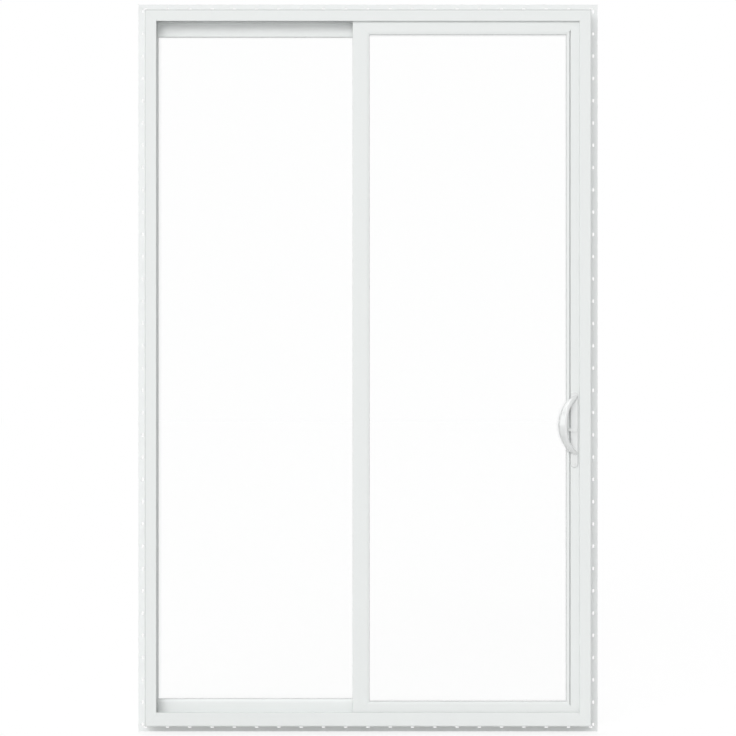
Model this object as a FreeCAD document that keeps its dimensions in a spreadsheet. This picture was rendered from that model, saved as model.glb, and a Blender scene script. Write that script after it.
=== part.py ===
"""A two-panel sliding patio door: welded frame, nail fins, one fixed and one sliding glass panel.

Seen from the room: X to the right, Y outwards through the door, Z up, in millimetres.
The origin is on the wall face of the nail fins, at the middle of the sill's underside.
"""
import FreeCAD, Part
import math
import os
import types

import Sketcher

SIZES = {
    # Frame extrusion: one profile, mitred at the corners
    "frame_width": 1511,
    "frame_height": 2426,
    "frame_face": 40,
    "frame_wall": 2.5,
    "frame_outer_round": 6,
    "frame_round": 2.5,
    "front_leg": 5,
    "centre_leg": 7,
    "outer_leg": 22,
    "outer_face": 34,
    "sill_rise": 8,
    "saw_margin": 5,
    "fin_setback": 35,
    # Nail fin with its row of slots
    "fin_width": 30,
    "fin_thickness": 2,
    "fin_tongue": 6,
    "fin_shoulder": 0.3,
    "slot_pitch": 76.2,
    "slot_width": 6,
    "slot_length": 12,
    "slot_end_margin": 2,
    # Panel profile and how far each panel reaches behind the frame
    "sash_face": 56,
    "sash_box": 42,
    "sash_wall": 3,
    "sash_round": 2,
    "panel_depth": 36,
    "panel_overlap": 12,
    "lock_overlap": 12.5,
    "meeting_offset": 4.25,
    "floor_gap": 8,
    "running_gap": 5,
    "jamb_stile": 20,
    "glazing_leg": 8,
    "glazing_drop": 3.5,
    "glazing_slope": 3,
    # Insulating glass and its beads
    "pane_thickness": 4,
    "pane_space": 11,
    "glass_bite": 12,
    "glass_edge_gap": 1,
    "spacer_width": 6.5,
    "spacer_inset": 2,
    "bead_bevel_width": 8,
    "bead_bevel_depth": 2.5,
    "bead_groove_width": 4.5,
    "bead_groove_depth": 6.5,
    # Interlock strips between the meeting stiles
    "interlock_flange": 11,
    "interlock_thickness": 2,
    "interlock_leg": 7,
    "interlock_leg_width": 3,
    # Track, guide and rollers
    "track_rib": 4,
    "track_round": 1.5,
    "track_base": 20,
    "track_base_height": 2,
    "track_entry": 6,
    "track_end_gap": 1,
    "wheel_radius": 12,
    "wheel_rim_radius": 10,
    "wheel_width": 8,
    "wheel_rim_gap": 0.4,
    "wheel_top_gap": 1,
    "wheel_seat_gap": 0.3,
    "axle_radius": 2.5,
    "axle_gap": 0.15,
    "housing_length": 80,
    "housing_wall": 1.5,
    "housing_gap": 0.3,
    "housing_below_axle": 6,
    "roller_inset": 110,
    # Handles and lock
    "handle_height": 1004,
    "plate_width": 25,
    "plate_length": 254,
    "plate_depth": 6,
    "plate_round": 2.5,
    "grip_rise": 15,
    "grip_span": 184,
    "grip_reach": 58,
    "pull_reach": 50,
    "grip_sunk": 8,
    "grip_lean": 45,
    "grip_width": 31,
    "grip_thickness": 11,
    "grip_root_width": 16.5,
    "grip_root_thickness": 15,
    "latch_boss_radius": 8,
    "latch_boss_height": 6,
    "latch_length": 22,
    "latch_tip_width": 7,
    "latch_tip_round": 3,
    "latch_height": 4,
    "latch_gap": 0.3,
    "latch_shaft_radius": 3,
    "latch_shaft_gap": 0.2,
    "faceplate_width": 18,
    "faceplate_length": 150,
    "faceplate_thickness": 2,
    "faceplate_gap": 0.2,
    "keeper_length": 100,
    "keeper_thickness": 2,
    "hook_slot_width": 8,
    "hook_slot_length": 34,
}

SHEET_NAME = "Sizes"
TURNS = {"left": 0, "top": 90, "right": 180, "bottom": 270}

doc = FreeCAD.newDocument("PatioDoor")
sub_parts = []


class Size:
    """A length that keeps its number together with the sheet expression that gives it."""

    def __init__(self, value, text):
        self.value = value
        self.text = text

    def joined(self, other, sign, value):
        return Size(value, f"({self.text} {sign} {as_size(other).text})")

    def __add__(self, other):
        return self.joined(other, "+", self.value + as_size(other).value)

    def __sub__(self, other):
        return self.joined(other, "-", self.value - as_size(other).value)

    def __mul__(self, other):
        return self.joined(other, "*", self.value * as_size(other).value)

    def __truediv__(self, other):
        return self.joined(other, "/", self.value / as_size(other).value)

    def __neg__(self):
        return ZERO - self


def as_size(number):
    """Return a size as it is, and a plain number as a size of its own."""
    if isinstance(number, Size):
        return number
    return Size(number, repr(number))


def fill_sheet():
    """Put each driving dimension in a cell of its own and return the sizes by name."""
    sheet = doc.addObject("Spreadsheet::Sheet", SHEET_NAME)
    named = {}
    for row, (name, value) in enumerate(SIZES.items(), start=1):
        cell = f"A{row}"
        sheet.set(cell, str(value))
        sheet.setAlias(cell, name)
        named[name] = Size(value, f"{SHEET_NAME}.{name}")
    doc.recompute()
    return types.SimpleNamespace(**named)


ZERO = Size(0, "0")
size = fill_sheet()

# Places that several sub-parts share, all worked out from the sheet
half_width = size.frame_width / 2
panel_edge = size.frame_face - size.panel_overlap
track_floor = panel_edge - size.floor_gap
jamb_pocket = size.frame_face - size.jamb_stile
track_end = size.front_leg + size.running_gap * 2 + size.panel_depth
centre_end = track_end + size.centre_leg
pocket_end = centre_end + size.panel_depth
frame_depth = pocket_end + size.outer_leg
fin_plane = frame_depth - size.fin_setback
frame_front = -fin_plane
sliding_front = frame_front + size.front_leg + size.running_gap
fixed_front = frame_front + centre_end
track_middle = sliding_front + size.panel_depth / 2
lock_edge = half_width - size.frame_face + size.lock_overlap
meeting_edge = size.meeting_offset
glass_depth = size.pane_thickness * 2 + size.pane_space
bead_depth = size.panel_depth - size.glazing_leg - glass_depth
rib_top = panel_edge + size.track_entry
axle_height = rib_top + size.wheel_seat_gap + size.wheel_rim_radius
wheel_top = axle_height + size.wheel_radius
groove_depth = wheel_top + size.wheel_top_gap + size.housing_wall - panel_edge
groove_width = size.track_rib + size.running_gap * 2
plate_middle = half_width - size.frame_face - size.running_gap - size.plate_width / 2


class Ring:
    """A rectangle in elevation whose four sides each carry an extruded profile."""

    def __init__(self, left, right, bottom, top, front):
        self.left = left
        self.right = right
        self.bottom = bottom
        self.top = top
        self.front = front

    def length(self, side):
        if side in ("left", "right"):
            return self.top - self.bottom
        return self.right - self.left

    def base(self, side):
        """Return the middle of one side, where its profile starts."""
        x = {"left": self.left, "right": self.right}.get(side, (self.left + self.right) / 2)
        z = {"top": self.top, "bottom": self.bottom}.get(side, (self.bottom + self.top) / 2)
        return x, self.front, z


frame_ring = Ring(-half_width, half_width, ZERO, size.frame_height, frame_front)
sliding_ring = Ring(meeting_edge - size.sash_face, lock_edge, panel_edge,
                    size.frame_height - panel_edge, sliding_front)
fixed_ring = Ring(size.frame_face - half_width, meeting_edge, panel_edge,
                  size.frame_height - panel_edge, fixed_front)


def bind(item, path, length):
    """Tie one property of a document object to the sheet."""
    item.setExpression(path, length.text)


def place(item, x, y, z, axis=(0, 0, 1), angle=0):
    """Turn an object about an axis through its origin and tie its position to the sheet."""
    turn = FreeCAD.Rotation(FreeCAD.Vector(*axis), angle)
    item.Placement = FreeCAD.Placement(FreeCAD.Vector(x.value, y.value, z.value), turn)
    bind(item, "Placement.Base.x", x)
    bind(item, "Placement.Base.y", y)
    bind(item, "Placement.Base.z", z)


def new_body(name):
    """Start a body whose label names its file."""
    body = doc.addObject("PartDesign::Body", name)
    body.Label = name
    return body


def keep(item):
    """List a finished object as a sub-part of the door."""
    sub_parts.append(item)
    return item


def origin_feature(body, role):
    return next(item for item in body.Origin.OriginFeatures if item.Role == role)


def sketch_on(body, role):
    """Add a sketch on one of the body's own origin planes."""
    sketch = body.newObject("Sketcher::SketchObject", "Sketch")
    sketch.AttachmentSupport = [(origin_feature(body, role), "")]
    sketch.MapMode = "FlatFace"
    return sketch


def pin_point(sketch, piece, end, x, y):
    """Hold one end of a line, or the centre of a circle, at a place given by two sizes."""
    for kind, length in (("DistanceX", x), ("DistanceY", y)):
        index = sketch.addConstraint(Sketcher.Constraint(kind, -1, 1, piece, end, length.value))
        bind(sketch, f"Constraints[{index}]", length)


def polygon(sketch, points):
    """Draw a closed outline of straight lines through points given as pairs of sizes."""
    first = sketch.GeometryCount
    count = len(points)
    corners = [FreeCAD.Vector(x.value, y.value, 0) for x, y in points]
    for step in range(count):
        sketch.addGeometry(Part.LineSegment(corners[step], corners[(step + 1) % count]))
    for step in range(count):
        following = first + (step + 1) % count
        sketch.addConstraint(Sketcher.Constraint("Coincident", first + step, 2, following, 1))
    for step, (x, y) in enumerate(points):
        pin_point(sketch, first + step, 1, x, y)


def rectangle(sketch, left, right, bottom, top):
    polygon(sketch, [(left, bottom), (right, bottom), (right, top), (left, top)])


def circle(sketch, x, y, radius):
    centre = FreeCAD.Vector(x.value, y.value, 0)
    piece = sketch.addGeometry(Part.Circle(centre, FreeCAD.Vector(0, 0, 1), radius.value))
    pin_point(sketch, piece, 3, x, y)
    index = sketch.addConstraint(Sketcher.Constraint("Radius", piece, radius.value))
    bind(sketch, f"Constraints[{index}]", radius)


def upright_slot(sketch, x, y, width, length):
    """Draw a slot with round ends and its long side along the sketch's second axis."""
    first = sketch.GeometryCount
    radius = width / 2
    straight = length / 2 - radius
    corners = [(x + radius, y - straight), (x + radius, y + straight),
               (x - radius, y + straight), (x - radius, y - straight)]
    spots = [FreeCAD.Vector(across.value, along.value, 0) for across, along in corners]
    crown = FreeCAD.Vector(x.value, (y + straight + radius).value, 0)
    foot = FreeCAD.Vector(x.value, (y - straight - radius).value, 0)
    sketch.addGeometry(Part.LineSegment(spots[0], spots[1]))
    sketch.addGeometry(Part.Arc(spots[1], crown, spots[2]))
    sketch.addGeometry(Part.LineSegment(spots[2], spots[3]))
    sketch.addGeometry(Part.Arc(spots[3], foot, spots[0]))
    right, head, left, heel = range(first, first + 4)
    pin_point(sketch, right, 1, *corners[0])
    pin_point(sketch, right, 2, *corners[1])
    pin_point(sketch, left, 1, *corners[2])
    pin_point(sketch, left, 2, *corners[3])
    sketch.addConstraint(Sketcher.Constraint("Tangent", right, 2, head, 1))
    sketch.addConstraint(Sketcher.Constraint("Coincident", head, 2, left, 1))
    sketch.addConstraint(Sketcher.Constraint("Tangent", left, 2, heel, 1))
    sketch.addConstraint(Sketcher.Constraint("Coincident", heel, 2, right, 1))


def pad(body, sketch, length, symmetric=False, backwards=False):
    """Extrude a sketch along its normal, both ways from it, or against its normal."""
    feature = body.newObject("PartDesign::Pad", "Pad")
    feature.Profile = sketch
    bind(feature, "Length", length)
    feature.SideType = "Symmetric" if symmetric else "One side"
    feature.Reversed = backwards
    doc.recompute()
    return feature


def cut(body, sketch, depth=None, towards_normal=False):
    """Pocket a sketch to a depth, or right through, and make sure that it removes something."""
    before = body.Shape.Volume
    feature = body.newObject("PartDesign::Pocket", "Pocket")
    feature.Profile = sketch
    feature.Reversed = towards_normal
    if depth is None:
        feature.Type = "ThroughAll"
    else:
        bind(feature, "Length", depth)
    doc.recompute()
    if not body.Shape.Volume < before:
        raise RuntimeError(f"{body.Label}: a pocket removes nothing")
    return feature


def round_edges(body, feature, radius, chosen):
    """Round the edges of a feature that a test picks out."""
    names = [f"Edge{number}" for number, edge in enumerate(feature.Shape.Edges, start=1) if chosen(edge)]
    fillet = body.newObject("PartDesign::Fillet", "Fillet")
    fillet.Base = (feature, names)
    bind(fillet, "Radius", radius)
    doc.recompute()
    return fillet


def runs_along(x, y):
    """Return a test for the straight edge of an extrusion that passes one point of its profile."""
    def test(edge):
        return all(abs(corner.X - x.value) < 1e-6 and abs(corner.Y - y.value) < 1e-6
                   for corner in edge.Vertexes)
    return test


def mitre(body, length, inner, outer, overrun, ends):
    """Saw the ends of an extrusion at 45 degrees, from its outer edge in to its inner edge."""
    sketch = sketch_on(body, "XZ_Plane")
    near = inner + size.saw_margin
    far = outer - size.saw_margin
    finish = length / 2 + overrun + size.saw_margin * 2
    for end in ends:
        way = {"start": -1, "end": 1}[end]
        tip = (length / 2 - near) * way
        heel = (length / 2 - far) * way
        polygon(sketch, [(near, tip), (far, heel), (far, finish * way), (near, finish * way)])
    cut(body, sketch)


def extrusion(name, ring, side, outline, chambers=(), ends=("start", "end"), rounded=()):
    """Extrude a profile along one side of a ring, with mitred ends where it meets its neighbours."""
    body = new_body(name)
    sketch = sketch_on(body, "XY_Plane")
    polygon(sketch, outline)
    for chamber in chambers:
        rectangle(sketch, *chamber)
    across = sorted((x for x, _ in outline), key=lambda x: x.value)
    outer = across[0]
    inner = across[-1]
    overrun = -outer if outer.value < 0 else ZERO
    length = ring.length(side)
    feature = pad(body, sketch, length + overrun * 2, symmetric=True)
    for radius, x, y in rounded:
        feature = round_edges(body, feature, radius, runs_along(x, y))
    mitre(body, length, inner, outer, overrun, ends)
    place(body, *ring.base(side), axis=(0, 1, 0), angle=TURNS[side])
    return keep(body)


def frame_member(name, side):
    """One side of the hollow frame, with the sliding track, the fixed pocket and a fin groove."""
    wall = size.frame_wall
    face = size.frame_face
    pocket = jamb_pocket if side in ("left", "right") else panel_edge
    groove_near = fin_plane + size.fin_shoulder
    groove_far = fin_plane + size.fin_thickness - size.fin_shoulder
    outline = [
        (ZERO, ZERO),
        (face, ZERO),
        (face, size.front_leg),
        (track_floor, size.front_leg),
        (track_floor, track_end),
        (face, track_end),
        (face, centre_end),
        (pocket, centre_end),
        (pocket, pocket_end),
        (size.outer_face, pocket_end),
        (size.outer_face, frame_depth),
        (ZERO, frame_depth),
        (ZERO, groove_far),
        (size.fin_tongue, groove_far),
        (size.fin_tongue, groove_near),
        (ZERO, groove_near),
    ]
    middle = (size.front_leg + track_end) / 2
    chambers = [
        (wall, track_floor - wall, size.frame_outer_round, middle - wall / 2),
        (wall, track_floor - wall, middle + wall / 2, centre_end - wall),
        (size.fin_tongue + wall, pocket - wall, centre_end, frame_depth - wall),
        (pocket, size.outer_face - wall, pocket_end + wall, frame_depth - wall),
    ]
    rounded = [(size.frame_outer_round, ZERO, ZERO), (size.frame_round, size.outer_face, frame_depth)]
    if side == "bottom":
        return raise_leg(extrusion(name, frame_ring, side, outline, chambers, rounded=rounded), side)
    rounded.append((size.frame_round, face, ZERO))
    return extrusion(name, frame_ring, side, outline, chambers, rounded=rounded)


def raise_leg(body, side):
    """Carry the front leg of a frame member further up between its neighbours, as a water dam."""
    crest = size.frame_face + size.sill_rise
    sketch = sketch_on(body, "XY_Plane")
    rectangle(sketch, size.frame_face, crest, ZERO, size.front_leg)
    feature = pad(body, sketch, frame_ring.length(side) - size.frame_face * 2, symmetric=True)
    round_edges(body, feature, size.frame_round, runs_along(crest, ZERO))
    return body


def nail_fin(name, side):
    """A flange that snaps into the frame's groove, with a row of slots for nails."""
    near = fin_plane
    far = fin_plane + size.fin_thickness
    shoulder = size.fin_shoulder
    outline = [
        (-size.fin_width, near),
        (ZERO, near),
        (ZERO, near + shoulder),
        (size.fin_tongue, near + shoulder),
        (size.fin_tongue, far - shoulder),
        (ZERO, far - shoulder),
        (ZERO, far),
        (-size.fin_width, far),
    ]
    body = extrusion(name, frame_ring, side, outline)
    reach = frame_ring.length(side) / 2 + size.fin_width / 2
    room = (reach - size.slot_length / 2 - size.slot_end_margin) / size.slot_pitch
    each_way = Size(int(room.value), f"floor({room.text})")
    sketch = sketch_on(body, "XZ_Plane")
    upright_slot(sketch, -size.fin_width / 2, -each_way * size.slot_pitch, size.slot_width,
                 size.slot_length)
    slot = cut(body, sketch)
    row = body.newObject("PartDesign::LinearPattern", "SlotRow")
    row.Originals = [slot]
    row.Direction = (origin_feature(body, "Z_Axis"), [""])
    bind(row, "Length", each_way * size.slot_pitch * 2)
    bind(row, "Occurrences", each_way * 2 + 1)
    body.Tip = row
    doc.recompute()
    return body


def track_strip(name, side):
    """A ribbed strip on the floor of the sliding track: the rail below, the guide above."""
    length = frame_ring.length(side) - track_floor * 2 - size.track_end_gap * 2
    middle = track_middle - frame_front
    rib = size.track_rib / 2
    base = size.track_base / 2
    shelf = track_floor + size.track_base_height
    outline = [
        (track_floor, middle - base),
        (shelf, middle - base),
        (shelf, middle - rib),
        (rib_top, middle - rib),
        (rib_top, middle + rib),
        (shelf, middle + rib),
        (shelf, middle + base),
        (track_floor, middle + base),
    ]
    body = new_body(name)
    sketch = sketch_on(body, "XY_Plane")
    polygon(sketch, outline)
    feature = pad(body, sketch, length, symmetric=True)
    for edge in (middle - rib, middle + rib):
        feature = round_edges(body, feature, size.track_round, runs_along(rib_top, edge))
    place(body, *frame_ring.base(side), axis=(0, 1, 0), angle=TURNS[side])
    return keep(body)


def sash_member(name, ring, side, grooved=False, ends=("start", "end")):
    """One side of a panel: a hollow box, a glazing rebate and, on rails that run, a groove."""
    wall = size.sash_wall
    depth = size.panel_depth
    seat = depth - size.glazing_leg
    leg = size.sash_face - size.glazing_drop
    outline = [
        (ZERO, ZERO),
        (size.sash_box, ZERO),
        (size.sash_box, seat),
        (leg, seat),
        (leg - size.glazing_slope, depth),
        (ZERO, depth),
    ]
    chambers = [(wall, size.sash_box - wall, wall, depth - wall)]
    if grooved:
        near = (depth - groove_width) / 2
        far = (depth + groove_width) / 2
        outline += [(ZERO, far), (groove_depth, far), (groove_depth, near), (ZERO, near)]
        chambers = [(wall, groove_depth, wall, near - wall), (wall, groove_depth, far + wall, depth - wall)]
    rounded = [(size.sash_round, ZERO, ZERO), (size.sash_round, ZERO, depth)]
    return extrusion(name, ring, side, outline, chambers, ends, rounded)


def glazing_bead(name, ring, side, open_joint=False, ends=("start", "end")):
    """A bevelled bead that clamps the glass, with a shadow joint beside it where it is open."""
    box = size.sash_box
    face = size.sash_face
    joint = [(box, ZERO)]
    if open_joint:
        lip = box + size.bead_groove_width
        joint = [(box, size.bead_groove_depth), (lip, size.bead_groove_depth), (lip, ZERO)]
    outline = [(box, bead_depth)] + joint + [
        (face - size.bead_bevel_width, ZERO),
        (face, size.bead_bevel_depth),
        (face, bead_depth),
    ]
    return extrusion(name, ring, side, outline, ends=ends)


def jamb_stile(name):
    """The slim channel that holds the fixed glass inside the frame's left pocket."""
    width = size.jamb_stile
    slot = -(size.glass_bite + size.glass_edge_gap)
    outline = [
        (-width, ZERO),
        (ZERO, ZERO),
        (ZERO, bead_depth),
        (slot, bead_depth),
        (slot, bead_depth + glass_depth),
        (-size.glazing_drop, bead_depth + glass_depth),
        (-size.glazing_drop, size.panel_depth),
        (-width, size.panel_depth),
    ]
    body = new_body(name)
    sketch = sketch_on(body, "XY_Plane")
    polygon(sketch, outline)
    pad(body, sketch, fixed_ring.length("left"), symmetric=True)
    place(body, *fixed_ring.base("left"))
    return keep(body)


def insulating_glass(prefix, ring, daylight_left):
    """Two panes and the spacer frame between them, held by their edges."""
    left = daylight_left - size.glass_bite
    right = ring.right - size.sash_face + size.glass_bite
    bottom = ring.bottom + size.sash_face - size.glass_bite
    top = ring.top - size.sash_face + size.glass_bite
    inner_face = ring.front + bead_depth
    spacer_face = inner_face + size.pane_thickness
    outer_face = spacer_face + size.pane_space
    for name, face in ((f"{prefix}_pane_inner", inner_face), (f"{prefix}_pane_outer", outer_face)):
        pane = doc.addObject("Part::Box", name)
        pane.Label = name
        bind(pane, "Length", right - left)
        bind(pane, "Width", size.pane_thickness)
        bind(pane, "Height", top - bottom)
        place(pane, left, face, bottom)
        keep(pane)
    body = new_body(f"{prefix}_spacer")
    sketch = sketch_on(body, "XZ_Plane")
    for inset in (size.spacer_inset, size.spacer_inset + size.spacer_width):
        rectangle(sketch, left + inset, right - inset, bottom + inset, top - inset)
    pad(body, sketch, size.pane_space, backwards=True)
    place(body, ZERO, spacer_face, ZERO)
    return keep(body)


def interlock_strip(name, stile_face, leg_side, outward):
    """An angle strip on a meeting stile whose leg reaches into the gap between the panels."""
    flange = size.interlock_flange
    leg = size.interlock_leg_width
    thickness = size.interlock_thickness * outward
    reach = size.interlock_leg * outward
    flange_end = leg_side - flange * outward
    leg_end = leg_side - leg * outward
    body = new_body(name)
    sketch = sketch_on(body, "XY_Plane")
    polygon(sketch, [(flange_end, ZERO), (leg_side, ZERO), (leg_side, reach), (leg_end, reach),
                     (leg_end, thickness), (flange_end, thickness)])
    length = size.frame_height - (size.frame_face + size.running_gap) * 2
    pad(body, sketch, length, symmetric=True)
    place(body, ZERO, stile_face, size.frame_height / 2)
    return keep(body)


def roller_housing(x):
    """A steel channel in the bottom rail's groove with an axle across it."""
    body = new_body("roller_housing")
    half = groove_width / 2 - size.housing_gap
    inside = half - size.housing_wall
    top = panel_edge + groove_depth
    under_top = top - size.housing_wall
    bottom = axle_height - size.housing_below_axle
    sketch = sketch_on(body, "YZ_Plane")
    polygon(sketch, [(-half, bottom), (-inside, bottom), (-inside, under_top), (inside, under_top),
                     (inside, bottom), (half, bottom), (half, top), (-half, top)])
    pad(body, sketch, size.housing_length, symmetric=True)
    axle = sketch_on(body, "XZ_Plane")
    circle(axle, ZERO, axle_height, size.axle_radius)
    pad(body, axle, half * 2 - size.housing_wall, symmetric=True)
    place(body, x, track_middle, ZERO)
    return body


def roller_wheel(x):
    """A grooved wheel that straddles the rib of the track."""
    body = new_body("roller_wheel")
    bore = size.axle_radius + size.axle_gap
    half = size.wheel_width / 2
    rim = size.track_rib / 2 + size.wheel_rim_gap
    sketch = sketch_on(body, "XY_Plane")
    polygon(sketch, [(bore, -half), (size.wheel_radius, -half), (size.wheel_radius, -rim),
                     (size.wheel_rim_radius, -rim), (size.wheel_rim_radius, rim),
                     (size.wheel_radius, rim), (size.wheel_radius, half), (bore, half)])
    turn = body.newObject("PartDesign::Revolution", "Revolution")
    turn.Profile = sketch
    turn.ReferenceAxis = (sketch, ["V_Axis"])
    doc.recompute()
    place(body, x, track_middle, axle_height)
    return body


def pair(name, make, places):
    """Keep two like pieces as one sub-part."""
    group = doc.addObject("Part::Compound", name)
    group.Label = name
    group.Links = [make(x) for x in places]
    doc.recompute()
    return keep(group)


def handle_plate(name, face, inside):
    """A round-ended plate on the lock stile; the inner one has the latch's hole."""
    body = new_body(name)
    sketch = sketch_on(body, "XZ_Plane")
    upright_slot(sketch, ZERO, ZERO, size.plate_width, size.plate_length)
    feature = pad(body, sketch, size.plate_depth, backwards=not inside)
    front = size.plate_depth.value * (-1 if inside else 1)
    round_edges(body, feature, size.plate_round,
                lambda edge: all(abs(corner.Y - front) < 1e-6 for corner in edge.Vertexes))
    if inside:
        hole = sketch_on(body, "XZ_Plane")
        circle(hole, ZERO, ZERO, size.latch_shaft_radius + size.latch_shaft_gap)
        cut(body, hole, towards_normal=True)
    place(body, plate_middle, face, size.handle_height)
    return keep(body)


def handle_grip(name, face, inside):
    """A bowed grip, swept from its broad middle to a stout root, mirrored, and cut off at the plate."""
    reach = size.grip_reach if inside else size.pull_reach
    span = size.grip_span / 2
    radius = (span * span + reach * reach) / (reach * 2)
    middle = reach - radius
    body = new_body(f"{name}_bow")
    path = sketch_on(body, "XZ_Plane")
    opening = math.acos((-size.grip_sunk - middle).value / radius.value)
    bow = Part.Circle(FreeCAD.Vector(middle.value, 0, 0), FreeCAD.Vector(0, 0, 1), radius.value)
    arc = path.addGeometry(Part.ArcOfCircle(bow, 0, opening))
    pin_point(path, arc, 3, middle, ZERO)
    path.addConstraint(Sketcher.Constraint("PointOnObject", arc, 1, -1))
    for kind, length, ends in (("Radius", radius, (arc,)), ("DistanceX", -size.grip_sunk, (-1, 1, arc, 2))):
        index = path.addConstraint(Sketcher.Constraint(kind, *ends, length.value))
        bind(path, f"Constraints[{index}]", length)
    section = sketch_on(body, "XY_Plane")
    upright_slot(section, reach, ZERO, size.grip_thickness, size.grip_width)
    root = body.newObject("Sketcher::SketchObject", "Sketch")
    root.AttachmentSupport = [(path, "Edge1")]
    root.MapMode = "FrenetNB"
    root.MapPathParameter = 1
    upright_slot(root, ZERO, ZERO, size.grip_root_thickness, size.grip_root_width)
    sweep = body.newObject("PartDesign::AdditivePipe", "Sweep")
    sweep.Profile = section
    sweep.Spine = (path, ["Edge1"])
    sweep.Transformation = "Multisection"
    sweep.Sections = [(root, [""])]
    doc.recompute()
    twin = body.newObject("PartDesign::Mirrored", "Twin")
    twin.Originals = [sweep]
    twin.MirrorPlane = (origin_feature(body, "XY_Plane"), [""])
    body.Tip = twin
    outward = -1 if inside else 1
    plate_face = face + size.plate_depth * outward
    place(body, plate_middle, plate_face, size.handle_height + size.grip_rise)
    lean = as_size(180) - size.grip_lean * outward
    body.Placement.Rotation = FreeCAD.Rotation(FreeCAD.Vector(0, 0, 1), lean.value)
    bind(body, "Placement.Rotation.Angle", lean)
    block = doc.addObject("Part::Box", f"{name}_trim")
    for edge in ("Length", "Width", "Height"):
        bind(block, edge, size.plate_length * 2)
    behind = plate_face if inside else plate_face - size.plate_length * 2
    place(block, plate_middle - size.plate_length, behind, size.handle_height - size.plate_length)
    grip = doc.addObject("Part::Cut", name)
    grip.Label = name
    grip.Base = body
    grip.Tool = block
    doc.recompute()
    return keep(grip)


def thumb_latch(name):
    """A small lever on a round boss, with a shaft that turns in the plate."""
    body = new_body(name)
    boss = sketch_on(body, "XZ_Plane")
    circle(boss, ZERO, ZERO, size.latch_boss_radius)
    pad(body, boss, size.latch_boss_height)
    lever = sketch_on(body, "XZ_Plane")
    tip = size.latch_tip_width / 2
    root = size.latch_boss_radius
    polygon(lever, [(ZERO, -root), (ZERO, root), (-size.latch_length, tip), (-size.latch_length, -tip)])
    feature = pad(body, lever, size.latch_height)
    round_edges(body, feature, size.latch_tip_round,
                lambda edge: all(abs(corner.X + size.latch_length.value) < 1e-6 for corner in edge.Vertexes)
                and edge.BoundBox.YLength > size.latch_height.value / 2)
    shaft = sketch_on(body, "XZ_Plane")
    circle(shaft, ZERO, ZERO, size.latch_shaft_radius)
    pad(body, shaft, size.plate_depth, backwards=True)
    place(body, plate_middle, sliding_front - size.plate_depth - size.latch_gap, size.handle_height)
    return keep(body)


def edge_plate(name, length, thickness, x):
    """A round-ended plate with a hook slot, upright in the middle of the sliding track."""
    body = new_body(name)
    sketch = sketch_on(body, "YZ_Plane")
    upright_slot(sketch, ZERO, ZERO, size.faceplate_width, length)
    upright_slot(sketch, ZERO, ZERO, size.hook_slot_width, size.hook_slot_length)
    pad(body, sketch, thickness)
    place(body, x, track_middle, size.handle_height)
    return keep(body)


def notch_for_track(stile):
    """Open both ends of a stile so that the track and the guide pass through its corners."""
    sketch = sketch_on(stile, "YZ_Plane")
    near = (size.panel_depth - groove_width) / 2
    far = (size.panel_depth + groove_width) / 2
    finish = sliding_ring.length("left") / 2
    start = finish - size.track_entry - size.running_gap
    for way in (-1, 1):
        rectangle(sketch, near, far, start * way, (finish + size.saw_margin) * way)
    cut(stile, sketch, towards_normal=True)


def recess_faceplate(stile):
    """Sink the lock's faceplate into the outer edge of its stile."""
    sketch = sketch_on(stile, "YZ_Plane")
    room = size.faceplate_gap * 2
    upright_slot(sketch, size.panel_depth / 2, size.frame_height / 2 - size.handle_height,
                 size.faceplate_width + room, size.faceplate_length + room)
    cut(stile, sketch, size.faceplate_thickness, towards_normal=True)


def make_frame():
    frame_member("frame_head", "top")
    frame_member("frame_sill", "bottom")
    frame_member("frame_jamb_left", "left")
    frame_member("frame_jamb_right", "right")
    for side in TURNS:
        nail_fin(f"nail_fin_{side}", side)
    track_strip("roller_track", "bottom")
    track_strip("head_guide", "top")
    floor = half_width - track_floor
    edge_plate("strike_keeper", size.keeper_length, size.keeper_thickness, floor - size.keeper_thickness)


def make_fixed_panel():
    sash_member("fixed_top_rail", fixed_ring, "top", ends=("end",))
    sash_member("fixed_bottom_rail", fixed_ring, "bottom", ends=("start",))
    sash_member("fixed_meeting_stile", fixed_ring, "right")
    jamb_stile("fixed_jamb_stile")
    glazing_bead("fixed_bead_top", fixed_ring, "top", ends=("end",))
    glazing_bead("fixed_bead_bottom", fixed_ring, "bottom", ends=("start",))
    glazing_bead("fixed_bead_meeting", fixed_ring, "right")
    insulating_glass("fixed", fixed_ring, fixed_ring.left)


def make_sliding_panel():
    sash_member("sliding_top_rail", sliding_ring, "top", grooved=True)
    sash_member("sliding_bottom_rail", sliding_ring, "bottom", grooved=True)
    meeting_stile = sash_member("sliding_meeting_stile", sliding_ring, "left")
    lock_stile = sash_member("sliding_lock_stile", sliding_ring, "right")
    for stile in (meeting_stile, lock_stile):
        notch_for_track(stile)
    recess_faceplate(lock_stile)
    edge_plate("lock_faceplate", size.faceplate_length, size.faceplate_thickness,
               lock_edge - size.faceplate_thickness)
    for side, name in (("top", "top"), ("bottom", "bottom"), ("left", "meeting"), ("right", "lock")):
        glazing_bead(f"sliding_bead_{name}", sliding_ring, side, open_joint=side == "right")
    insulating_glass("sliding", sliding_ring, sliding_ring.left + size.sash_face)
    places = (sliding_ring.left + size.roller_inset, sliding_ring.right - size.roller_inset)
    pair("roller_housings", roller_housing, places)
    pair("roller_wheels", roller_wheel, places)


def make_interlock():
    """The two strips face each other with a running gap between their legs."""
    leg_side = sliding_ring.left + size.interlock_flange
    interlock_strip("sliding_interlock", sliding_front + size.panel_depth, leg_side, 1)
    interlock_strip("fixed_interlock", fixed_front, leg_side + size.running_gap, -1)


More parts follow.
